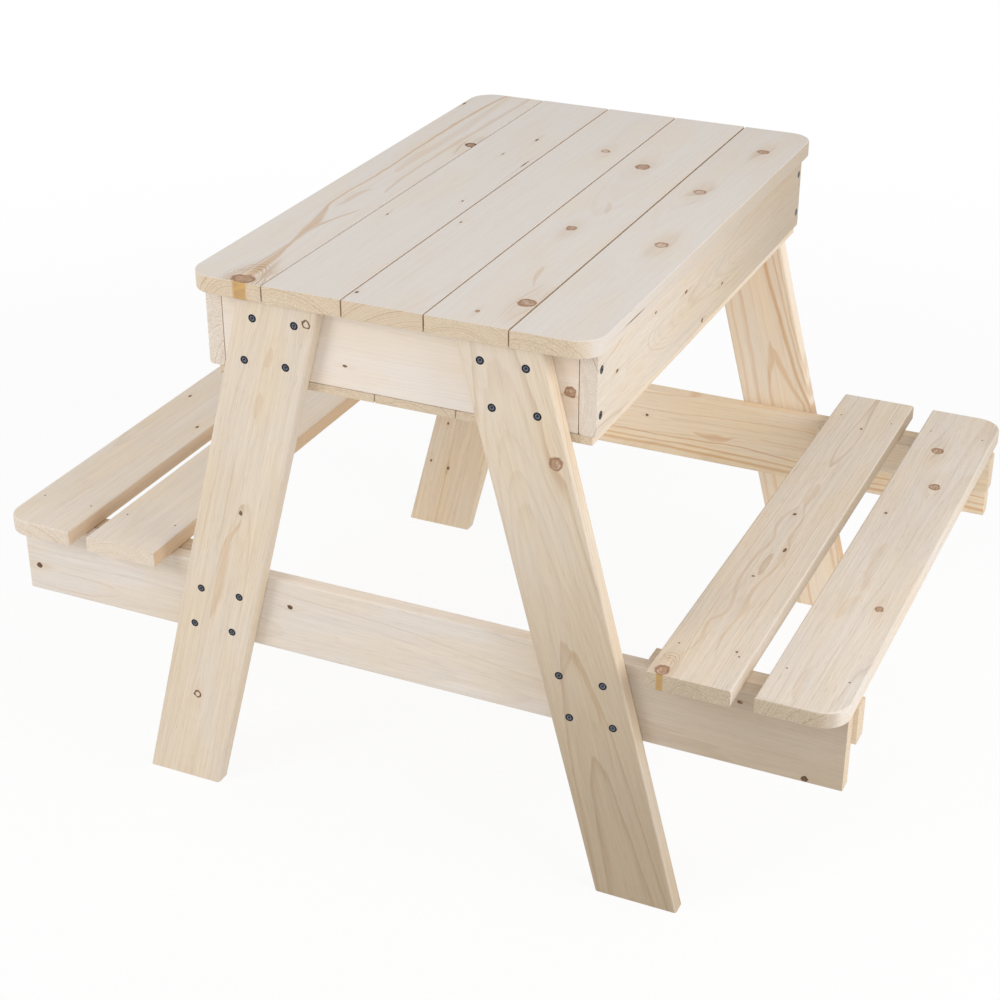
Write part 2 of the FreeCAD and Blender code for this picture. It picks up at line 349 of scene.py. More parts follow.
def pine(name, axes, seed, pith=(0, -70), lean=(0.0, 0.0), ring=2.6, warmth=0.4, contrast=0.35, fibre=1.0,
         lightness=1.0, edge_light=1.0, edge_heart=0.0, end_tone=1.0, end_warmth=1.0,
         dulling=(0, 100, 0.0), edge_dulling=None, knots=(), veins=()):
    """Planed pine as a cut through a log. axes carries the board's length, width and depth to the object.

    pith is where the log's middle lies from the board's own, across and deep, and lean how it drifts along.
    ring is the width of a year's growth. warmth is the share of tan sapwood, contrast the strength of the
    growth lines, fibre that of the fine streaks, and lightness the tone of the whole board, partly the
    wood's own and partly painted light and shade in place of light that the lamps do not give. edge_light is
    painted light on the narrow edges, and edge_heart how much heartwood they show, which in the lid's seams
    is painted shade.
    end_tone is the tone of the sawn ends, partly painted shade, and end_warmth their tan. dulling says from
    where to where along the board painted shade darkens the wood, and by what share, and edge_dulling the
    same of the narrow edges, where they differ. Millimetres.
    """
    material, tree, shader = new_material(name)
    coordinates = tree.nodes.new("ShaderNodeTexCoord")
    on_board = tree.nodes.new("ShaderNodeMapping")
    on_board.vector_type = "TEXTURE"
    on_board.inputs["Location"].default_value = axes.translation
    on_board.inputs["Rotation"].default_value = axes.to_euler()
    feed(tree, on_board.inputs["Vector"], coordinates.outputs["Object"])
    straight = on_board.outputs[0]
    along = apart(tree, straight)[0]

    # Each knot bends the grain that the next one and the rings are drawn on.
    place = straight
    knot_shade = 0.0
    halo = 0.0
    swirl = 0.0
    for centre, form in knots:
        knot = use_group(tree, KNOT, Place=place, Knot=axes.inverted() @ centre, **form)
        place = knot["Place"]
        knot_shade = largest(tree, knot_shade, knot["Shade"])
        halo = largest(tree, halo, knot["Halo"])
        swirl = largest(tree, swirl, knot["Swirl"])

    late_wood = use_group(
        tree,
        RINGS,
        Place=place,
        Pith=(0.0, pith[0] * MM, pith[1] * MM),
        Lean=(0.0, lean[0], lean[1]),
        Ring=ring * MM,
        Seed=seed,
    )["Late"]
    fibres = noise(tree, place, (14.0, 900.0, 900.0), seed)
    streaks = noise(tree, place, (4.0, 210.0, 210.0), seed)
    ticks = noise(tree, place, (50.0, 1300.0, 1300.0), seed + 3.0, 1.0)
    clouds = noise(tree, place, (7.0, 24.0, 24.0), seed, 3.0)
    speckle = noise(tree, straight, (900.0, 1500.0, 1500.0), seed)

    # Which way the surface faces tells sawn ends, narrow edges and eased corners from the planed faces.
    def turned_to(axis):
        facing = vector_maths(tree, "DOT_PRODUCT", coordinates.outputs["Normal"], axes.col[axis].to_3d())
        return maths(tree, "ABSOLUTE", facing)

    cut_end = smooth_step(tree, turned_to(0), 0.55, 0.85)
    narrow_edge = smooth_step(tree, turned_to(1), 0.55, 0.85)
    flattest = largest(tree, turned_to(0), turned_to(1), turned_to(2))
    eased_corner = smooth_step(tree, flattest, 0.86, 0.99, 1.0, 0.0)

    # The wood itself: cloudy sapwood, heartwood by the knots and on the narrow edges, where in the lid's
    # seams it is painted shade, and painted shade along the board.
    warm_share = smooth_step(tree, clouds, 0.25, 0.75, warmth - 0.18, warmth + 0.18)
    wood = colour_mix(tree, warm_share, PALE_SAPWOOD, WARM_SAPWOOD)
    heart_share = largest(tree, times(tree, halo, 0.18), times(tree, narrow_edge, edge_heart))
    wood = colour_mix(tree, heart_share, wood, HEARTWOOD)
    dulled = dulled_share(tree, along, *dulling)
    if edge_dulling:
        further = maths(tree, "SUBTRACT", dulled_share(tree, along, *edge_dulling), dulled)
        dulled = maths(tree, "MULTIPLY_ADD", further, narrow_edge, dulled)
    wood = colour_mix(tree, dulled, wood, DULLED_WOOD)

    # Its markings: veins, growth lines and fine flecks.
    drifted = strayed(tree, straight, (26.0, 70.0, 70.0), seed, 2.0, (0.0, 0.004, 0.0))
    veined = 0.0
    for share, points in veins:
        veined = largest(tree, veined, times(tree, vein_share(tree, drifted, axes, points), share))
    veined = times(tree, veined, smooth_step(tree, streaks, 0.2, 0.65, 0.7, 1.0))
    wood = colour_mix(tree, veined, wood, VEIN_TINT, "MULTIPLY")
    drawn = largest(tree, times(tree, halo, 0.65), contrast)
    lines = largest(tree, times(tree, late_wood, drawn), swirl)
    wood = colour_mix(tree, lines, wood, LATE_WOOD_TINT, "MULTIPLY")
    flecks = smooth_step(tree, ticks, 0.62, 0.72, 0.0, 0.30 * fibre)
    wood = colour_mix(tree, flecks, wood, LATE_WOOD_TINT, "MULTIPLY")

    # The sawn ends: tan, ringed and speckled with cut fibres. end_tone scales their tone and their resin,
    # partly the wood's own and partly painted shade.
    end_wood = [pale + (warm - pale) * end_warmth for pale, warm in zip(PALE_SAPWOOD, END_GRAIN)]
    end_wood = colour_mix(tree, times(tree, late_wood, 0.70), end_wood, LATE_WOOD_TINT, "MULTIPLY")
    end_shade = smooth_step(tree, speckle, 0.30, 0.70, 0.78 * end_tone, 1.14 * end_tone)
    end_wood = colour_mix(tree, 1.0, end_wood, end_shade, "MULTIPLY")
    colour = colour_mix(tree, cut_end, wood, end_wood)

    # Light and dark over both: the fibres and streaks, painted light on the narrow edges, and on the eased
    # corners a paler band that is wear and painted highlight.
    # lightness scales the tone of the whole board: partly the wood's own, partly painted light and shade.
    darkest = (1.0 - 0.06 * fibre) * lightness
    lightest = (1.0 + 0.03 * fibre) * lightness
    fibre_shade = times(
        tree,
        smooth_step(tree, fibres, 0.28, 0.72, darkest, lightest),
        smooth_step(tree, streaks, 0.25, 0.75, 1.0 - 0.04 * fibre, 1.0 + 0.03 * fibre),
    )
    colour = colour_mix(tree, 1.0, colour, fibre_shade, "MULTIPLY")
    # Painted light: the colour of the narrow edges is multiplied by edge_light.
    edge_shade = smooth_step(tree, narrow_edge, 0.0, 1.0, 1.0, edge_light)
    colour = colour_mix(tree, 1.0, colour, edge_shade, "MULTIPLY")
    # Painted highlight and wear: the eased corners are mixed a little towards pale sapwood.
    colour = colour_mix(tree, times(tree, eased_corner, 0.22), colour, PALE_SAPWOOD)

    # Knots: brown to dark on the faces, and a run of resin where a sawn end cuts one.
    colour = colour_mix(tree, smooth_step(tree, knot_shade, 0.02, 0.44), colour, KNOT_BROWN)
    resin = times(
        tree,
        smooth_step(tree, knot_shade, 0.0, 0.22, 0.0, 0.9),
        cut_end,
        smooth_step(tree, streaks, 0.30, 0.66, 0.45, 1.0),
    )
    end_resin = [*(channel * end_tone for channel in RESIN_AMBER[:3]), 1]
    colour = colour_mix(tree, resin, colour, end_resin)
    on_face = maths(tree, "SUBTRACT", 1.0, cut_end)
    dark_share = times(tree, smooth_step(tree, knot_shade, 0.42, 1.0), on_face)
    colour = colour_mix(tree, dark_share, colour, KNOT_DARK)
    feed(tree, shader.inputs["Base Color"], colour)

    # Late wood is harder, so it is glossier and stands a little proud.
    # Dark knots sink, and sawn ends are rough.
    feed(tree, shader.inputs["Roughness"], smooth_step(tree, late_wood, 0.0, 1.0, 0.66, 0.52))
    shader.inputs["Specular IOR Level"].default_value = 0.28
    bump = tree.nodes.new("ShaderNodeBump")
    bump.inputs["Strength"].default_value = 0.30
    bump.inputs["Distance"].default_value = 0.25 * MM
    raised = maths(tree, "MULTIPLY_ADD", late_wood, 0.5, times(tree, fibres, 0.6))
    raised = maths(tree, "MULTIPLY_ADD", dark_share, -1.0, raised)
    raised = maths(tree, "MULTIPLY_ADD", times(tree, speckle, cut_end), 0.8, raised)
    feed(tree, bump.inputs["Height"], raised)
    feed(tree, shader.inputs["Normal"], bump.outputs[0])
    return material


def board_axes(node, along, depth):
    """Matrix from a board's own length, width and depth to the object, about the middle of its box."""
    low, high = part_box(node)
    axes = Matrix((along, depth.cross(along), depth)).transposed().to_4x4()
    axes.translation = (low + high) / 2
    return axes


SQUARE_CORNERS = ((-1, -1), (1, -1), (1, 1), (-1, 1))


def rectangle(node, axes, end_gap=0.0, side_gap=0.0):
    """Outline of a straight board on its own axes and its thickness, from its box."""
    low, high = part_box(node)
    half = (axes.inverted().to_3x3() @ (high - low)) / 2
    half_length = abs(half.x) - end_gap
    half_width = abs(half.y) - side_gap
    return [(a * half_length, c * half_width) for a, c in SQUARE_CORNERS], 2 * abs(half.z)


def rounded_edges(made, edges, rounding, steps):
    bmesh.ops.bevel(
        made,
        geom=edges,
        offset=rounding,
        offset_type="OFFSET",
        segments=steps,
        profile=0.5,
        affect="EDGES",
        clamp_overlap=True,
    )


def finished_mesh(name, made):
    mesh = bpy.data.meshes.new(name)
    made.to_mesh(mesh)
    made.free()
    return mesh


def board_mesh(name, axes, outline, thickness, rounding, end_rounding):
    """Mesh of a planed board: an outline on its own axes, with rounded long edges and finely eased ends."""
    made = bmesh.new()
    under = [made.verts.new((a, c, -thickness / 2)) for a, c in outline]
    upper = [made.verts.new((a, c, thickness / 2)) for a, c in outline]
    made.faces.new(list(reversed(under)))
    made.faces.new(upper)
    for i in range(len(outline)):
        made.faces.new((under[i - 1], under[i], upper[i], upper[i - 1]))
    bmesh.ops.recalc_face_normals(made, faces=made.faces)

    # The long edges are rounded first and the ends after them, unless one rounding goes all the way round.
    chosen = []
    for edge in made.edges:
        step = edge.verts[1].co - edge.verts[0].co
        in_a_face = abs(step.z) < 0.5 * step.length
        if in_a_face and (rounding == end_rounding or abs(step.x) > 0.7 * step.length):
            chosen.append(edge)
    rounded_edges(made, chosen, rounding, steps=4)
    if rounding != end_rounding:
        end_edges = [
            edge for edge in made.edges if any(abs(face.normal.x) > 0.9 for face in edge.link_faces)
        ]
        rounded_edges(made, end_edges, end_rounding, steps=2)
    bmesh.ops.transform(made, matrix=axes, verts=made.verts)
    return finished_mesh(name, made)


def in_scene(name, data):
    """A new object at the origin."""
    made = bpy.data.objects.new(name, data)
    bpy.context.scene.collection.objects.link(made)
    return made


def modified(mesh, set_up):
    """The mesh with a modifier applied. set_up adds it to a short-lived object."""
    draft = in_scene("draft", mesh)
    set_up(draft)
    bpy.context.view_layer.update()
    result = bpy.data.meshes.new_from_object(draft.evaluated_get(bpy.context.evaluated_depsgraph_get()))
    bpy.data.objects.remove(draft)
    return result


def even_shading(draft):
    """Flat faces shade flat, and rounded edges round."""
    even = draft.modifiers.new("even_shading", "WEIGHTED_NORMAL")
    even.mode = "FACE_AREA"
    even.weight = 100
    even.keep_sharp = True


def dressed(name, mesh, body, slot, *nodes):
    """Puts a finished mesh in the scene, in place of its frame nodes."""
    mesh.name = name
    piece = in_scene(name, mesh)
    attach(piece, body)
    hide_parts(*nodes)


SCREW_HEAD = 8.8 * MM
WELL_CLEARANCE = 0.12 * MM
WELL_DEPTH = 2.4 * MM
WELL_REACH = 0.4 * MM
WELL_FACETS = 32


def fasteners_of(*nodes):
    """Both ends of each fastener in the frame's nodes, as half width and middle."""
    found = []
    for node in nodes:
        pins = bmesh.new()
        pins.from_mesh(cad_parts[node].data)
        bmesh.ops.remove_doubles(pins, verts=pins.verts, dist=0.01 * MM)
        seen = set()
        for first in list(pins.verts):
            if first in seen:
                continue
            # Vertices that edges connect make one pin, and its list grows while it is walked.
            seen.add(first)
            pin = [first]
            for vertex in pin:
                for edge in vertex.link_edges:
                    other = edge.other_vert(vertex)
                    if other not in seen:
                        seen.add(other)
                        pin.append(other)
            # Its longest span is its axis, and the corners at both levels are its ends.
            corners = [vertex.co.copy() for vertex in pin]
            spans = [max(c[i] for c in corners) - min(c[i] for c in corners) for i in range(3)]
            axis = spans.index(max(spans))
            ends = []
            for level in (min(c[axis] for c in corners), max(c[axis] for c in corners)):
                ring = [c for c in corners if abs(c[axis] - level) < 0.1 * MM]
                middle = sum(ring, Vector()) / len(ring)
                ends.append((max((c - middle).length for c in ring), middle))
            found.append(ends)
        pins.free()
    return found


def screw_places(*nodes):
    """Head middle and outward direction of each screw. Its wider end is the head."""
    found = []
    for ends in fasteners_of(*nodes):
        (_, point), (_, head) = sorted(ends, key=lambda end: end[0])
        found.append((head, (head - point).normalized()))
    return found


def screw_wells(node, *screw_nodes):
    """Mesh of the countersinks that the screws' heads sit in on one board."""
    low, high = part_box(node)
    made = bmesh.new()
    surface = SCREW_HEAD / 2 + WELL_CLEARANCE
    for head, outward in screw_places(*screw_nodes):
        if any(head[i] < low[i] - MM or head[i] > high[i] + MM for i in range(3)):
            continue
        middle = head + outward * (WELL_REACH - WELL_DEPTH) / 2
        bmesh.ops.create_cone(
            made,
            cap_ends=True,
            segments=WELL_FACETS,
            radius1=surface - WELL_DEPTH,
            radius2=surface + WELL_REACH,
            depth=WELL_DEPTH + WELL_REACH,
            matrix=Matrix.Translation(middle) @ outward.to_track_quat("Z", "Y").to_matrix().to_4x4(),
        )
    return finished_mesh(f"{node}_wells", made)


def drilled(mesh, wells):
    cutter = in_scene("wells", wells)

    def cut(draft):
        boolean = draft.modifiers.new("countersinks", "BOOLEAN")
        boolean.operation = "DIFFERENCE"
        boolean.solver = "EXACT"
        boolean.object = cutter

    result = modified(mesh, cut)
    bpy.data.objects.remove(cutter)
    return result


SEED_STEP = 7.3
SMOOTH_UP_TO = math.radians(40)
board_numbers = itertools.count(1)


def board(node, along, depth, slot="planed_pine", body="frame", outline=None, rounding=LONG_EDGE_ROUNDING,
          end_rounding=CUT_END_ROUNDING, end_gap=0.0, side_gap=0.0, screws=(), **grain):
    """Dresses one board of the frame as planed pine. grain is what pine takes."""
    axes = board_axes(node, along, depth)
    plain_outline, thickness = rectangle(node, axes, end_gap, side_gap)
    mesh = board_mesh(node, axes, outline or plain_outline, thickness, rounding, end_rounding)
    if screws:
        mesh = drilled(mesh, screw_wells(node, *screws))
    mesh.shade_smooth()
    mesh.set_sharp_from_angle(angle=SMOOTH_UP_TO)
    mesh = modified(mesh, even_shading)
    mesh.materials.clear()
    mesh.materials.append(pine(f"pine_{node}", axes, SEED_STEP * next(board_numbers), **grain))
    dressed(f"{node}_wood", mesh, body, slot, node)


X, Y, Z = Vector((1, 0, 0)), Vector((0, 1, 0)), Vector((0, 0, 1))


def leg(end, side, **grain):
    """A leg: its level cuts are read from the frame's own leg."""
    node = f"leg_{end}_{side}"
    corners = [vertex.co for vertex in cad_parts[node].data.vertices]
    foot = [corner.x for corner in corners if corner.z < 0.5 * MM]
    top_height = max(corner.z for corner in corners)
    top = [corner.x for corner in corners if corner.z > top_height - 0.5 * MM]
    level_cuts = [
        Vector((min(foot), 0, 0)),
        Vector((max(foot), 0, 0)),
        Vector((max(top), 0, top_height)),
        Vector((min(top), 0, top_height)),
    ]
    foot_middle = Vector(((min(foot) + max(foot)) / 2, 0, 0))
    top_middle = Vector(((min(top) + max(top)) / 2, 0, top_height))
    along = (top_middle - foot_middle).normalized()
    axes = board_axes(node, along, Y)
    outline = []
    for cut in level_cuts:
        own = axes.inverted() @ Vector((cut.x, axes.translation.y, cut.z))
        outline.append((own.x, own.y))
    screws = (f"leg_top_screws_{end}", f"leg_rail_screws_{end}")
    board(node, along, Y, outline=outline, screws=screws, **grain)


leg(
    "near", "left", pith=(10, 52), lean=(0.02, 0.03), warmth=0.56, contrast=0.26, lightness=0.98,
    knots=(
        ring_knot(-89, -349, 604, 4.8),
        pin_knot(-181, -349, 370, 2.2),
        ring_knot(-256, -349, 119, 5.0),
    ),
    veins=(
        vein(0.42, (-180, 363, 0), (-186, 352, 2), (-200, 330, 3.5), (-208, 300, 5), (-218, 264, 4.5),
             (-231, 223, 0)),
        vein(0.34, (-184, 440, 0), (-186, 428, 0.8), (-200, 370, 1.0), (-212, 332, 1.0), (-219, 305, 0)),
        vein(0.26, (-130, 572, 0), (-132, 564, 4), (-136, 554, 4), (-139, 547, 0)),
        vein(0.26, (-146, 518, 0), (-152, 502, 4.5), (-157, 486, 0)),
    ),
)
# Painted shade darkens this leg towards its foot, and its narrow edges more.
leg(
    "near", "right", pith=(0, 56), lean=(0.0, 0.05), ring=3.5, warmth=0.62, contrast=0.46, fibre=0.8,
    dulling=(280, -280, 0.9), edge_dulling=(-60, -330, 0.6),
    knots=(branch_knot(184, -349, 505, 8.0),),
    veins=(
        vein(0.26, (206, 294, 0), (208, 287, 2.0), (217, 271, 1.8), (240, 217, 1.4), (258, 150, 0)),
        vein(0.26, (204, 294, 0), (202, 285, 2.0), (194, 262, 1.6), (189, 245, 0)),
    ),
)
leg(
    "far", "left", pith=(20, -80), lean=(-0.03, 0.03), ring=3.6, warmth=0.74, contrast=0.32, lightness=1.09,
    knots=(
        pin_knot(-267, 330, 94, 2.0),
        pin_knot(-294, 330, 101, 1.6),
        pin_knot(-266, 330, 165, 1.6),
    ),
)
leg(
    "far", "right", pith=(20, -60), lean=(0.02, 0.012), ring=4.0, warmth=0.56, contrast=0.16, fibre=0.5,
    lightness=1.17,
    veins=(
        vein(0.85, (183, 465, 2.4), (198, 425, 2.4), (215, 376, 2.4), (236, 322, 2.2), (254, 288, 2.4)),
        vein(0.60, (195, 467, 1.3), (212, 414, 1.3), (229, 362, 1.5), (257, 293, 1.3)),
        vein(0.50, (205, 458, 1.0), (225, 389, 1.0), (247, 326, 1.0)),
        vein(0.45, (149, 437, 2.4), (165, 374, 2.4), (184, 291, 2.2)),
        vein(0.35, (138, 417, 1.6), (154, 360, 1.6), (169, 293, 1.6)),
        vein(0.55, (193, 374, 0), (195, 361, 3), (197, 347, 5), (196, 324, 2.5), (199, 299, 2)),
        vein(0.55, (198, 364, 0), (205, 349, 4), (214, 334, 4), (228, 312, 3), (244, 292, 2)),
    ),
)


# Cross rails
# Two planed pine boards on edge inside the legs, which tie them together and carry the benches.
# They run the whole width of the table, are sawn square at the ends and take the screws of the legs.
# Painted shade darkens this rail towards its right end, and painted light brightens its narrow edges.
board(
    "rail_near", X, Y, pith=(30, 90), lean=(0.03, 0.02), ring=3.0, warmth=0.28, contrast=0.22, fibre=0.8,
    edge_light=1.15, dulling=(60, 420, 0.75),
    knots=(
        branch_knot(-475, -330, 227, 3.4, 1.2, heart=1.1, rim=0.6),
        branch_knot(-138, -330, 253, 2.8, 1.2, heart=1.1, rim=0.6),
        pin_knot(379, -330, 271, 2.0),
        branch_knot(451, -330, 199, 3.4, 1.2, heart=1.1, rim=0.6),
    ),
    veins=(
        vein(0.30, (-452, 226, 0), (-440, 224, 0.9), (-413, 223, 0.9), (-380, 221, 0.9), (-356, 217, 0)),
        vein(0.30, (-470, 201, 0), (-440, 201, 0.9), (-405, 203, 0.9), (-380, 208, 0.9), (-356, 217, 0)),
    ),
)
board(
    "rail_far", X, Y, pith=(44, -62), lean=(-0.02, 0.02), ring=4.0, warmth=0.80, contrast=0.20, fibre=0.7,
    lightness=1.10,
    knots=(pin_knot(38, 311, 246, 2.0, 1.0),),
    veins=(
        vein(0.60, (101, 234, 0), (117, 231, 3), (133, 231, 5), (149, 232, 3), (158, 236, 0.8),
             (203, 240, 0.6)),
        vein(0.80, (29, 221, 0.8), (111, 222, 0.8), (159, 225, 0.8), (202, 222, 1.0), (241, 219, 0.8)),
        vein(0.70, (29, 212, 1.2), (123, 213, 1.2), (232, 210, 1.2)),
        vein(0.75, (29, 205, 2.0), (123, 205, 2.0), (215, 202, 2.0)),
        vein(0.45, (62, 280, 0.8), (142, 288, 0.8)),
        vein(0.45, (84, 256, 0.7), (157, 262, 0.7), (233, 264, 0.7)),
    ),
)


# Sandbox ends
# Two planed pine boards between the sides of the box, behind the tops of the legs.
# The legs and the sides are screwed to them, and a hair of clearance is left against the sides.
BOX_CORNER_GAP = 0.5 * MM
board(
    "end_board_near", X, Y, end_gap=BOX_CORNER_GAP, pith=(-50, 60), ring=3.0, warmth=0.24, contrast=0.12,
    fibre=0.3, lightness=1.10,
    knots=(
        branch_knot(190, -330, 575, 6.5),
        pin_knot(-57, -330, 557, 1.4, 2.0),
    ),
    veins=(
        vein(0.30, (140, 605, 0), (170, 603, 12), (200, 602, 12)),
        vein(0.30, (140, 556, 0), (170, 560, 12), (200, 560, 12)),
    ),
)
board("end_board_far", X, Y, end_gap=BOX_CORNER_GAP, pith=(40, -70), warmth=0.4, contrast=0.3)


# Sandbox sides
# Two long planed pine boards on edge, with softly rounded edges, which cover the ends of the end boards.
# Two countersunk screws at each corner hold them.
SIDE_EDGE_ROUNDING = 3.6 * MM
board(
    "side_board_left", Y, X, screws=("side_screws_left",), rounding=SIDE_EDGE_ROUNDING, pith=(-60, 40),
    warmth=0.4, contrast=0.3, end_tone=1.10, end_warmth=0.35,
    knots=(branch_knot(-218, 120, 590, 6.0, 1.1),),
)
# Painted shade darkens this board towards its far end.
board(
    "side_board_right", Y, X, screws=("side_screws_right",), rounding=SIDE_EDGE_ROUNDING, pith=(6, -60),
    lean=(0.03, 0.06), ring=2.2, warmth=0.46, contrast=0.34, fibre=0.9, lightness=0.93, end_tone=1.17,
    end_warmth=0.4, dulling=(-260, 330, 0.64),
    knots=(
        pin_knot(218, -279, 582, 1.8, 2.0),
        pin_knot(218, 40, 559, 1.8, 1.6),
        pin_knot(218, -174, 604, 1.4, 2.0),
        pin_knot(218, -82, 593, 1.8, 2.4),
        pin_knot(218, -24, 539, 2.6, 1.2),
    ),
)


# Sandbox floor
# Five thin pine boards side by side under the box, with narrow joints between them.
# They are nailed up into the end boards. Each comes from another place across the log.
FLOOR_BOARDS = 5
FLOOR_EDGE_ROUNDING = 0.6 * MM
for number in range(1, FLOOR_BOARDS + 1):
    board(
        f"floor_board_{number}", Y, Z, slot="thin_pine", rounding=FLOOR_EDGE_ROUNDING,
        pith=(-50 + 23 * number, -60), warmth=0.6, contrast=0.35,
    )


# Seat cleats
# Four short pine battens, screwed to the inner faces of the rails.
# They join the two boards of a bench and take the brads that come down through the seats.
BATTEN_EDGE_ROUNDING = 2.0 * MM
for end in ("near", "far"):
    for side in ("left", "right"):
        board(
            f"cleat_{end}_{side}", X, Y, screws=(f"cleat_screws_{end}",), rounding=BATTEN_EDGE_ROUNDING,
            pith=(60, 30), warmth=0.7, contrast=0.4,
        )


# Benches
# Two planed pine boards each, laid across the rails and cleats and held by brads from above.
# The outer board's free corners are rounded in plan.
CORNER_RADIUS = 30.0 * MM
CORNER_STEPS = 12
SEAT_EDGE_ROUNDING = 2.6 * MM


def rounded_outline(node, side, side_gap):
    """Outline of a board that lies along Y, with both corners on one side rounded in plan."""
    axes = board_axes(node, Y, Z)
    outline, _ = rectangle(node, axes, side_gap=side_gap)
    points = []
    for (a, c), start in zip(outline, (180, 270, 0, 90)):
        on_rounded_side = (axes.to_3x3() @ Vector((0, c, 0))).x * side > 0
        if not on_rounded_side:
            points.append((a, c))
            continue
        middle_a = a - math.copysign(CORNER_RADIUS, a)
        middle_c = c - math.copysign(CORNER_RADIUS, c)
        for step in range(CORNER_STEPS + 1):
            turn = math.radians(start + 90 * step / CORNER_STEPS)
            out_a = CORNER_RADIUS * math.cos(turn)
            out_c = CORNER_RADIUS * math.sin(turn)
            points.append((middle_a + out_a, middle_c + out_c))
    return points


def outer_board(node, side, rounding, side_gap=0.0, **rest):
    """A board along Y that ends the row: rounded corners on one side, and one rounding on all its edges."""
    outline = rounded_outline(node, side, side_gap)
    board(node, Y, Z, outline=outline, rounding=rounding, end_rounding=rounding, **rest)


# Painted shade darkens this board's narrow edges towards its far end, and its sawn ends.
board(
    "seat_board_right_inner", Y, Z, pith=(-2, -24), lean=(0.0, 0.004), ring=1.7, warmth=0.40, contrast=0.58,
    end_tone=0.80, edge_dulling=(-420, 60, 0.75),
    knots=(
        branch_knot(304, -354, 303, 8.0, 1.3, swirl=0.5),
        pin_knot(361, -291, 303, 1.6, 1.0),
        pin_knot(327, 18, 303, 2.2),
        pin_knot(342, -68, 303, 1.8, 3.0),
        pin_knot(328, -137, 303, 1.8, 1.0),
        pin_knot(336, 269, 303, 1.6),
    ),
    veins=(
        vein(0.34, (331, 104, 0), (332, 72, 5), (331, 54, 4), (334, 33, 1.6), (339, 4, 1.6),
             (339, -39, 1.8), (346, -69, 1.6), (338, -176, 1.8), (341, -205, 4), (339, -237, 1.4),
             (339, -274, 1.4), (345, -323, 0)),
        vein(0.34, (326, 38, 0), (321, 22, 1.8), (316, -11, 1.8), (322, -51, 1.8), (318, -86, 2.2),
             (317, -155, 1.8), (326, -217, 2.4), (316, -245, 1.8), (319, -284, 1.4), (309, -326, 0)),
    ),
)
# Painted shade darkens this board's narrow edges towards its far end, and its sawn ends.
outer_board(
    "seat_board_right_outer", 1, SEAT_EDGE_ROUNDING, pith=(-38, -44), lean=(0.02, -0.03), warmth=0.32,
    contrast=0.32, end_tone=0.80, edge_dulling=(0, 400, 0.4),
    knots=(
        branch_knot(437, 247, 303, 8.0, 1.1),
        branch_knot(456, 151, 303, 7.5, 1.1),
        branch_knot(470, -149, 303, 5.0, 1.2),
        pin_knot(421, 64, 303, 1.8),
    ),
    veins=(
        vein(0.25, (441, -5, 0), (437, -27, 5), (437, -56, 4), (442, -101, 4), (443, -120, 0)),
        vein(0.20, (446, -127, 0), (439, -143, 6), (435, -165, 6), (434, -188, 0)),
        vein(0.25, (438, -284, 0), (436, -302, 4), (436, -328, 4), (440, -352, 2)),
    ),
)
board(
    "seat_board_left_inner", Y, Z, pith=(20, -60), lean=(0.02, 0.03), warmth=0.36, contrast=0.18, fibre=0.7,
    lightness=1.06, edge_heart=0.8, end_warmth=0.6,
)
outer_board(
    "seat_board_left_outer", -1, SEAT_EDGE_ROUNDING, pith=(30, -50), lean=(0.02, 0.03), warmth=0.42,
    contrast=0.18, fibre=0.7, lightness=1.06, edge_heart=0.4, end_warmth=0.6,
    knots=(
        pin_knot(-476, 6, 303, 2.0),
        pin_knot(-418, -69, 303, 2.0),
    ),
)


# Screws of the frame
# Countersunk wood screws of blackened steel with a six-lobed recess.
# They are driven flush through the legs, the sandbox sides and the cleats.
SCREW_SHANK = 4.5 * MM
SCREW_LENGTH = 35.0 * MM
SCREW_PROUD = 0.12 * MM
RECESS_WIDTH = 4.8 * MM
RECESS_DEPTH = 1.4 * MM
RECESS_POINT = 0.5 * MM
RECESS_SEAM = 0.001 * MM
RECESS_LOBES = 6
HEAD_FACETS = 40
SHANK_FACETS = 16
POINT_FACETS = 12
JET_BLACK = (0.012, 0.015, 0.024, 1)
BLUE_BLACK = (0.060, 0.070, 0.095, 1)
DULL_STEEL = (0.14, 0.15, 0.18, 1)
BRIGHT_STEEL = (0.42, 0.44, 0.47, 1)


def geometry_tree(name, inputs):
    """An empty Geometry Nodes tree with named inputs."""
    tree = bpy.data.node_groups.new(name, "GeometryNodeTree")
    tree.interface.new_socket("Geometry", in_out="INPUT", socket_type="NodeSocketGeometry")
    for label, kind in inputs.items():
        tree.interface.new_socket(label, in_out="INPUT", socket_type=f"NodeSocket{kind}")
    tree.interface.new_socket("Geometry", in_out="OUTPUT", socket_type="NodeSocketGeometry")
    return tree, tree.nodes.new("NodeGroupInput").outputs, tree.nodes.new("NodeGroupOutput").inputs


def geometry_node(tree, kind, values=None, **settings):
    """Adds a node with its settings, and feeds its inputs by name."""
    made = tree.nodes.new(kind)
    for label, setting in settings.items():
        setattr(made, label, setting)
    for label, value in (values or {}).items():
        feed(tree, made.inputs[label], value)
    return made


def moved_up(tree, geometry, height):
    place = together(tree, z=height)
    made = geometry_node(tree, "GeometryNodeTransform", {"Geometry": geometry, "Translation": place})
    return made.outputs[0]


def joined(tree, *geometries):
    made = tree.nodes.new("GeometryNodeJoinGeometry")
    for geometry in geometries:
        feed(tree, made.inputs[0], geometry)
    return made.outputs[0]


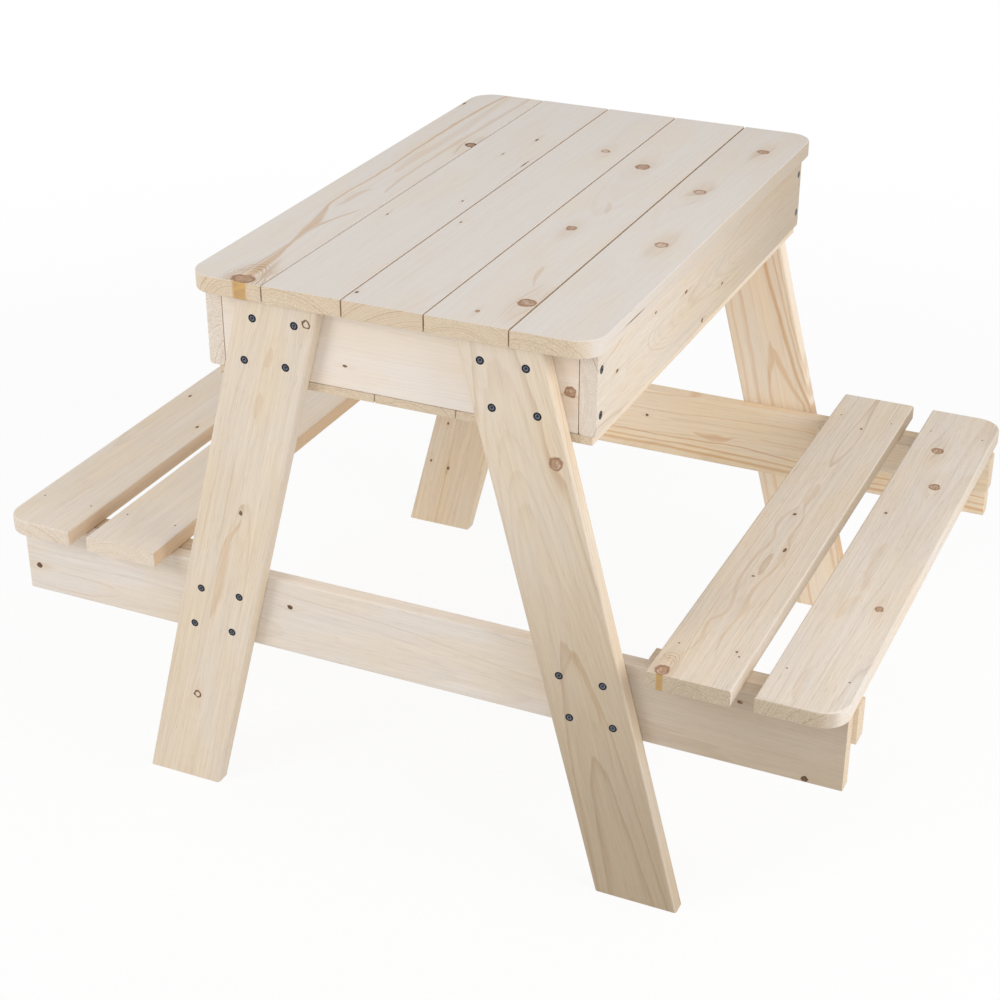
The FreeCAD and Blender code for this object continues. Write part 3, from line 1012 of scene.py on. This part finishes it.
def set_out(tree, given, result, shape):
    """Puts a shape on every point, facing outwards and turned at random, as one mesh."""
    facing = geometry_node(
        tree, "GeometryNodeInputNamedAttribute", {"Name": "facing"}, data_type="FLOAT_VECTOR"
    )
    outward = geometry_node(
        tree, "FunctionNodeAlignRotationToVector", {"Vector": facing.outputs[0]}, axis="Z"
    )
    turn = geometry_node(tree, "FunctionNodeRandomValue", {"Seed": given["Seed"]}, data_type="FLOAT")
    turn.inputs[3].default_value = math.tau
    twist = geometry_node(tree, "FunctionNodeAxisAngleToRotation", {"Angle": turn.outputs[1]})
    turned = geometry_node(
        tree,
        "FunctionNodeRotateRotation",
        {"Rotation": outward.outputs[0], "Rotate By": twist.outputs[0]},
        rotation_space="LOCAL",
    )
    placed = geometry_node(
        tree,
        "GeometryNodeInstanceOnPoints",
        {"Points": given["Geometry"], "Instance": shape, "Rotation": turned.outputs[0]},
    )
    real = geometry_node(tree, "GeometryNodeRealizeInstances", {"Geometry": placed.outputs[0]})
    coated = geometry_node(
        tree, "GeometryNodeSetMaterial", {"Geometry": real.outputs[0], "Material": given["Material"]}
    )
    feed(tree, result["Geometry"], coated.outputs[0])


def screw_tree():
    """One countersunk screw: a cone under a flat head, a shank, and a lobed recess with a pointed floor."""
    tree, given, result = geometry_tree("countersunk_screws", {
        "Head": "Float", "Shank": "Float", "Length": "Float", "Proud": "Float", "Recess Width": "Float",
        "Recess Depth": "Float", "Recess Point": "Float", "Seed": "Int", "Material": "Material",
    })
    head_radius = times(tree, given["Head"], 0.5)
    shank_radius = times(tree, given["Shank"], 0.5)
    cone_height = maths(tree, "SUBTRACT", head_radius, shank_radius)
    cone = geometry_node(tree, "GeometryNodeMeshCone", {
        "Vertices": HEAD_FACETS,
        "Radius Top": head_radius,
        "Radius Bottom": shank_radius,
        "Depth": cone_height,
    })
    cone_foot = maths(tree, "SUBTRACT", given["Proud"], cone_height)
    cone = moved_up(tree, cone.outputs["Mesh"], cone_foot)

    # The recess: a rounded star, drawn up from its floor to above the head, and a point under the floor.
    lobes = geometry_node(tree, "GeometryNodeCurveStar", {
        "Points": RECESS_LOBES,
        "Inner Radius": times(tree, given["Recess Width"], 0.36),
        "Outer Radius": times(tree, given["Recess Width"], 0.5),
    })
    lobe_rounding = times(tree, given["Recess Width"], 0.09)
    rounded = geometry_node(
        tree,
        "GeometryNodeFilletCurve",
        {"Curve": lobes.outputs[0], "Count": 3, "Radius": lobe_rounding},
        mode="POLY",
    )
    mouth = geometry_node(tree, "GeometryNodeFillCurve", {"Curve": rounded.outputs[0]}, mode="NGONS")
    rise = times(tree, given["Recess Depth"], 2.0)
    prism = geometry_node(tree, "GeometryNodeExtrudeMesh", {"Mesh": mouth.outputs[0], "Offset Scale": rise})
    flipped = geometry_node(tree, "GeometryNodeFlipFaces", {"Mesh": mouth.outputs[0]})
    closed = joined(tree, flipped.outputs[0], prism.outputs[0])
    sealed = geometry_node(
        tree, "GeometryNodeMergeByDistance", {"Geometry": closed, "Distance": RECESS_SEAM}
    )
    recess_floor = maths(tree, "SUBTRACT", given["Proud"], given["Recess Depth"])
    recess = moved_up(tree, sealed.outputs[0], recess_floor)
    point = geometry_node(tree, "GeometryNodeMeshCone", {
        "Vertices": POINT_FACETS,
        "Radius Top": times(tree, given["Recess Width"], 0.32),
        "Radius Bottom": 0.0,
        "Depth": times(tree, given["Recess Point"], 1.1),
    })
    point_foot = maths(tree, "SUBTRACT", recess_floor, given["Recess Point"])
    point = moved_up(tree, point.outputs["Mesh"], point_foot)
    cut = geometry_node(
        tree, "GeometryNodeMeshBoolean", {"Mesh 1": cone}, operation="DIFFERENCE", solver="EXACT"
    )
    feed(tree, cut.inputs["Mesh 2"], recess)
    feed(tree, cut.inputs["Mesh 2"], point)

    shank_length = maths(tree, "ADD", given["Length"], cone_foot)
    shank = geometry_node(tree, "GeometryNodeMeshCylinder", {
        "Vertices": SHANK_FACETS, "Radius": shank_radius, "Depth": shank_length,
    })
    shank_middle = maths(tree, "SUBTRACT", cone_foot, times(tree, shank_length, 0.5))
    shank = moved_up(tree, shank.outputs["Mesh"], shank_middle)

    # The distance from the axis is kept for the finish, whose bright ring round the recess is wear and
    # painted highlight.
    spot = tree.nodes.new("GeometryNodeInputPosition").outputs[0]
    from_axis = vector_maths(tree, "LENGTH", vector_maths(tree, "MULTIPLY", spot, (1.0, 1.0, 0.0)))
    measured = geometry_node(
        tree,
        "GeometryNodeStoreNamedAttribute",
        {"Geometry": joined(tree, cut.outputs[0], shank), "Name": "from_axis", "Value": from_axis},
        data_type="FLOAT",
        domain="POINT",
    )
    set_out(tree, given, result, measured.outputs[0])
    return tree


def set_of(name, places, tree, values, body, slot, *nodes):
    """Runs a fastener tree on its places and keeps the result as one plain mesh on its body."""
    points = bpy.data.meshes.new(f"{name}_places")
    points.from_pydata([head for head, _ in places], [], [])
    facing = points.attributes.new("facing", "FLOAT_VECTOR", "POINT")
    for item, (_, outward) in zip(facing.data, places):
        item.vector = outward

    def run_tree(draft):
        maker = draft.modifiers.new(name, "NODES")
        maker.node_group = tree
        for socket in tree.interface.items_tree:
            if socket.name in values and socket.in_out == "INPUT":
                maker[socket.identifier] = values[socket.name]

    dressed(name, modified(points, run_tree), body, slot, *nodes)


def blackened_steel():
    """Screw finish: blue-black, with a bright ring round the recess that is wear from the driver and painted
    highlight.
    """
    material, tree, shader = new_material("blackened_steel")
    place = tree.nodes.new("ShaderNodeTexCoord").outputs["Object"]
    scuffs = noise(tree, place, (900.0, 900.0, 900.0), 3.0, 3.0)
    from_axis = tree.nodes.new("ShaderNodeAttribute")
    from_axis.attribute_name = "from_axis"
    # Painted highlight and wear: a ring of brighter steel at the edge of the recess.
    rubbed = times(
        tree,
        smooth_step(tree, from_axis.outputs["Fac"], 0.58 * RECESS_WIDTH, 0.48 * RECESS_WIDTH),
        smooth_step(tree, from_axis.outputs["Fac"], 0.26 * RECESS_WIDTH, 0.36 * RECESS_WIDTH),
    )
    black = colour_mix(tree, smooth_step(tree, scuffs, 0.42, 0.75), JET_BLACK, BLUE_BLACK)
    bright = colour_mix(tree, scuffs, DULL_STEEL, BRIGHT_STEEL)
    feed(tree, shader.inputs["Base Color"], colour_mix(tree, rubbed, black, bright))
    shader.inputs["Metallic"].default_value = 0.85
    feed(tree, shader.inputs["Roughness"], smooth_step(tree, scuffs, 0.3, 0.8, 0.40, 0.24))
    return material


SCREWS = screw_tree()
SCREW_VALUES = {
    "Head": SCREW_HEAD, "Shank": SCREW_SHANK, "Length": SCREW_LENGTH, "Proud": SCREW_PROUD,
    "Recess Width": RECESS_WIDTH, "Recess Depth": RECESS_DEPTH, "Recess Point": RECESS_POINT,
    "Seed": 4, "Material": blackened_steel(),
}
frame_screws = [
    f"{kind}_{place}"
    for kind, places in (
        ("leg_top_screws", ("near", "far")),
        ("leg_rail_screws", ("near", "far")),
        ("cleat_screws", ("near", "far")),
        ("side_screws", ("left", "right")),
    )
    for place in places
]
set_of("frame_screws", screw_places(*frame_screws), SCREWS, SCREW_VALUES,
       "frame", "dark_screw_steel", *frame_screws)


# Brads and floor nails
# Headless pins of square steel wire: pairs down through the seats into the cleats, and up through the
# floor boards into the sandbox ends. Each end shows as a small dark square in the wood.
BRAD_WIDTH = 1.8 * MM
BRAD_LENGTH = 35.0 * MM
NAIL_WIDTH = 1.6 * MM
NAIL_LENGTH = 24.0 * MM
PIN_PROUD = 0.08 * MM
STAINED_STEEL = (0.045, 0.036, 0.030, 1)
WORN_STEEL = (0.12, 0.105, 0.095, 1)


def pin_places(outward, *nodes):
    """The end of each pin that faces outward is its head."""
    found = []
    for (_, end_a), (_, end_b) in fasteners_of(*nodes):
        head = end_a if (end_a - end_b).dot(outward) > 0 else end_b
        found.append((head, outward))
    return found


def pin_tree():
    """One headless pin of square wire, driven flush."""
    tree, given, result = geometry_tree("square_pins", {
        "Width": "Float", "Length": "Float", "Proud": "Float", "Seed": "Int", "Material": "Material",
    })
    size = together(tree, given["Width"], given["Width"], given["Length"])
    wire = geometry_node(tree, "GeometryNodeMeshCube", {"Size": size})
    middle = maths(tree, "MULTIPLY_ADD", given["Length"], -0.5, given["Proud"])
    set_out(tree, given, result, moved_up(tree, wire.outputs["Mesh"], middle))
    return tree


def dulled_steel():
    """Plain nail wire, darkened where the wood has closed over it."""
    material, tree, shader = new_material("dulled_steel")
    place = tree.nodes.new("ShaderNodeTexCoord").outputs["Object"]
    stain = noise(tree, place, (1200.0, 1200.0, 1200.0), 5.0)
    feed(tree, shader.inputs["Base Color"], colour_mix(tree, stain, STAINED_STEEL, WORN_STEEL))
    shader.inputs["Metallic"].default_value = 0.5
    feed(tree, shader.inputs["Roughness"], smooth_step(tree, stain, 0.2, 0.8, 0.5, 0.7))
    return material


PINS = pin_tree()
PIN_STEEL = dulled_steel()
brads = ("seat_brads_left", "seat_brads_right")
set_of("seat_brads", pin_places(Z, *brads), PINS, {
    "Width": BRAD_WIDTH, "Length": BRAD_LENGTH, "Proud": PIN_PROUD, "Seed": 2, "Material": PIN_STEEL,
}, "frame", "bright_nail_steel", *brads)
set_of("floor_nails_driven", pin_places(-Z, "floor_nails"), PINS, {
    "Width": NAIL_WIDTH, "Length": NAIL_LENGTH, "Proud": PIN_PROUD, "Seed": 3, "Material": PIN_STEEL,
}, "frame", "bright_nail_steel", "floor_nails")


# Lid battens
# Two pine battens across the underside of the lid, which hold its boards together with screws from below.
# They drop inside the box and keep the loose lid from sliding.
for end in ("near", "far"):
    board(f"lid_batten_{end}", X, Z, body="lid", screws=("lid_screws",), rounding=BATTEN_EDGE_ROUNDING,
          pith=(50, -30), warmth=0.6, contrast=0.4)


# Lid
# Five planed pine boards edge to edge, which make the table top and lie loose on the box.
# The outer two have rounded corners. No fastener shows, because the screws come from below.
LID_JOINT_ROUNDING = 0.5 * MM
LID_RIM_ROUNDING = 1.4 * MM
LID_JOINT_GAP = 0.5 * MM


def inner_lid_board(number, **grain):
    """A board between two others. Its joint faces are painted heartwood brown, as painted shade in the
    seams.
    """
    board(f"lid_board_{number}", Y, Z, body="lid", rounding=LID_JOINT_ROUNDING, side_gap=LID_JOINT_GAP,
          edge_heart=0.7, **grain)


outer_board(
    "lid_board_1", -1, LID_RIM_ROUNDING, LID_JOINT_GAP, body="lid", pith=(-22, -34), lean=(0.0, 0.004),
    ring=3.2, warmth=0.10, contrast=0.10, fibre=0.3,
    knots=(
        branch_knot(-161, -346, 640, 14.0, 0.9, swirl=0.6),
        branch_knot(-140, 147, 640, 8.0, heart=0.55, rim=0.6),
        pin_knot(-222, 300, 640, 1.6, 3.0),
    ),
    veins=(
        vein(0.74, (-161, -309, 5), (-163, -285, 5), (-168, -243, 2), (-172, -218, 2.5), (-176, -176, 6),
             (-185, -137, 4), (-193, -101, 1.5), (-191, -16, 1.4), (-193, 114, 1.8), (-194, 253, 2.5),
             (-187, 348, 2)),
        vein(0.66, (-170, -220, 1), (-171, -180, 4), (-166, -160, 2), (-155, -122, 1), (-153, -108, 0)),
        vein(0.40, (-183, -118, 0), (-180, -102, 2), (-180, -80, 4), (-179, -63, 4), (-172, -43, 0)),
        vein(0.45, (-154, -53, 0), (-156, -41, 1.5), (-160, 48, 2), (-158, 182, 3), (-154, 336, 3)),
        vein(0.25, (-176, 18, 0), (-179, 66, 6), (-177, 138, 6), (-177, 223, 6), (-181, 321, 3)),
    ),
)
inner_lid_board(
    2, pith=(30, -80), lean=(0.02, 0.02), warmth=0.02, contrast=0.10, fibre=0.3,
    knots=(
        pin_knot(-76, 198, 640, 1.6, 3.0),
        pitch_streak(-52, 107, 640, 0.9, 14.0),
        pin_knot(-91, 131, 640, 1.2),
        pin_knot(-62, -41, 640, 1.2, 2.0),
        pin_knot(-118, -114, 640, 1.0, 3.0),
    ),
)
inner_lid_board(
    3, pith=(-30, -90), lean=(0.02, -0.02), warmth=0.04, contrast=0.12, fibre=0.3,
    knots=(
        branch_knot(16, 192, 640, 6.0, heart=0.22, rim=0.25),
        pin_knot(-34, -104, 640, 1.2, 2.0),
        pin_knot(-40, -330, 640, 1.8, 1.6),
    ),
)
inner_lid_board(
    4, pith=(4, -52), lean=(0.0, 0.03), warmth=0.10, contrast=0.15, fibre=0.3,
    knots=(
        branch_knot(82, -72, 640, 6.5, 1.1),
        branch_knot(78, 154, 640, 9.0, 1.1),
        branch_knot(125, -286, 640, 10.5),
        branch_knot(90, -325, 640, 2.8, 1.3),
    ),
    veins=(
        vein(0.45, (115, -250, 0), (110, -235, 1), (105, -219, 2.5), (102, -202, 3), (100, -187, 0)),
        vein(0.35, (98, -15, 0), (96, -6, 3), (94, 8, 3), (89, 24, 0)),
    ),
)
# Painted shade darkens this board a little towards its far end, and its narrow edges more.
outer_board(
    "lid_board_5", 1, LID_RIM_ROUNDING, LID_JOINT_GAP, body="lid", pith=(20, -70), lean=(-0.02, 0.03),
    warmth=0.04, contrast=0.12, fibre=0.3, dulling=(-100, 500, 0.15), edge_dulling=(-700, 400, 0.75),
    knots=(
        branch_knot(188, 266, 640, 8.0),
        branch_knot(168, 97, 640, 8.0, 1.1, heart=0.24),
        branch_knot(188, -80, 640, 8.0, 1.1, heart=0.24),
        pitch_streak(226, -255, 630, 0.8, 36.0),
    ),
)


# Lid screws
# The same screws of blackened steel, driven up through the battens into each lid board.
# They are out of sight from above.
set_of("lid_batten_screws", screw_places("lid_screws"), SCREWS, SCREW_VALUES,
       "lid", "dark_screw_steel", "lid_screws")


# Floor and surroundings
# A plain white studio floor that keeps a soft shadow and runs out into a white surround.
# The viewer and reflections see both as white, while the surround lights the table less strongly.
FLOOR_HALF = 6.0
FLOOR_WHITE = (0.96, 0.96, 0.96, 1)
SHADOW_SHARE = 0.11
SHADOW_REACH = (0.9, 2.4)
SURROUND_STRENGTH = 0.66


def seen_directly(tree):
    """1 for the camera's own rays and for rays that reflections or glass send on, and otherwise 0."""
    rays = tree.nodes.new("ShaderNodeLightPath").outputs
    return largest(tree, rays["Is Camera Ray"], rays["Is Glossy Ray"], rays["Is Transmission Ray"])


floor_mesh = bpy.data.meshes.new("studio_floor")
corners = [(x * FLOOR_HALF, y * FLOOR_HALF, 0) for x, y in SQUARE_CORNERS]
floor_mesh.from_pydata(corners, [], [(0, 1, 2, 3)])
in_scene("studio_floor", floor_mesh)

floor_paint, tree, shader = new_material("studio_white")
shader.inputs["Base Color"].default_value = FLOOR_WHITE
shader.inputs["Roughness"].default_value = 0.9
reach = vector_maths(tree, "LENGTH", tree.nodes.new("ShaderNodeTexCoord").outputs["Object"])
white_share = smooth_step(tree, reach, *SHADOW_REACH, 1.0 - SHADOW_SHARE, 1.0)
glow = tree.nodes.new("ShaderNodeEmission")
mixed = tree.nodes.new("ShaderNodeMixShader")
feed(tree, mixed.inputs[0], times(tree, seen_directly(tree), white_share))
feed(tree, mixed.inputs[1], shader.outputs[0])
feed(tree, mixed.inputs[2], glow.outputs[0])
feed(tree, tree.nodes["Material Output"].inputs["Surface"], mixed.outputs[0])
floor_mesh.materials.append(floor_paint)

world = bpy.data.worlds.new("white_surround")
world.use_nodes = True
bpy.context.scene.world = world
tree = world.node_tree
background = tree.nodes["Background"]
background.inputs["Color"].default_value = (1, 1, 1, 1)
strength = smooth_step(tree, seen_directly(tree), 0.0, 1.0, SURROUND_STRENGTH, 1.0)
feed(tree, background.inputs["Strength"], strength)


# Lights
# Most of the light comes from the white surround. A soft box in front on the left lifts the near ends,
# and a wider, stronger one on the right lifts the sides that face it.
def soft_box(name, place, target, size, power, spread):
    lamp = bpy.data.lights.new(name, "AREA")
    lamp.shape = "SQUARE"
    lamp.size = size
    lamp.energy = power
    lamp.spread = math.radians(spread)
    box = in_scene(name, lamp)
    box.location = place
    box.rotation_euler = (Vector(target) - Vector(place)).to_track_quat("-Z", "Y").to_euler()
    box.visible_camera = False


soft_box("front_box", (-1.2, -1.9, 1.4), (-0.4, -0.3, 0.55), size=1.0, power=2.8, spread=72)
soft_box("side_box", (1.8, -0.45, 1.25), (0, 0.1, 0.4), size=1.2, power=10.5, spread=140)


# Camera
# At the photograph's viewing angle and distance, which were fitted to the table's edges and corners.
# The focal length is in pixels of the picture, so it is turned into millimetres of the sensor.
VIEW_AZIMUTH = 24.53
VIEW_ELEVATION = 27.72
VIEW_PLACE = (0.8480, -1.9347, 1.3684)
FOCAL_PIXELS = 1977.9
IMAGE_PIXELS = 1000.0
SENSOR_WIDTH = 36.0

lens = bpy.data.cameras.new("photograph")
lens.sensor_width = SENSOR_WIDTH
lens.lens = SENSOR_WIDTH * FOCAL_PIXELS / IMAGE_PIXELS
camera = in_scene("photograph", lens)
camera.location = VIEW_PLACE
camera.rotation_euler = (math.radians(90 - VIEW_ELEVATION), 0, math.radians(VIEW_AZIMUTH))
bpy.context.scene.camera = camera
bpy.context.scene.view_settings.view_transform = "Standard"


# Last update
# The view layer is brought up to date.
bpy.context.view_layer.update()
